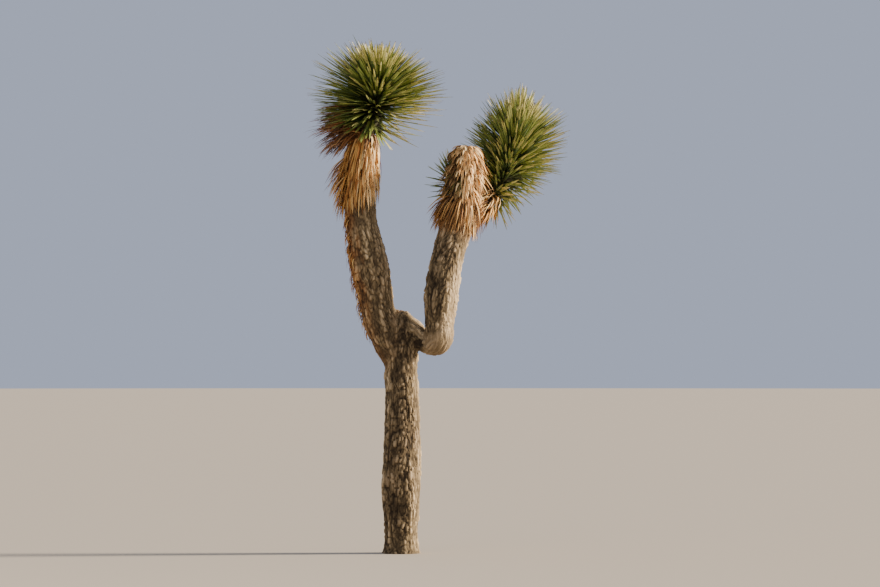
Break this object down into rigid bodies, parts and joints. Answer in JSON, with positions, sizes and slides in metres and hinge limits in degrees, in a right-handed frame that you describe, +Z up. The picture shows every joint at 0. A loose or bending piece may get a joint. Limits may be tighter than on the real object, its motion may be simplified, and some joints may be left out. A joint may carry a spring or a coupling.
{
  "type": "joshua tree",
  "caption": "Rooted joshua tree: a straight bare trunk that forks into thick upturned boughs, with round heads of stiff dagger leaves over thatches of hanging dead leaves.",
  "frame": {"origin": "middle of the flat cut under the trunk, at ground level", "axes": "+Z up the trunk, +X towards the lower head on its side branch, -Y towards the picture's viewer"},
  "size_m": [1.6709, 1.2289, 3.2988],
  "materials": {
    "bark": "matt grey-brown bark in small upright plates",
    "live_leaves": "stiff satin yellow-green leaves with brown points",
    "dead_leaves": "dry matt straw and brown leaves"
  },
  "bodies": {
    "root": {"trunk": "bark", "left_bough": "bark", "right_limb": "bark", "right_bough": "bark", "left_head": "live_leaves", "right_head": "live_leaves", "rear_head": "live_leaves", "left_thatch": "dead_leaves", "collar_thatch": "dead_leaves", "dead_head": "dead_leaves", "side_branch_thatch": "dead_leaves"}
  },
  "joints": []
}
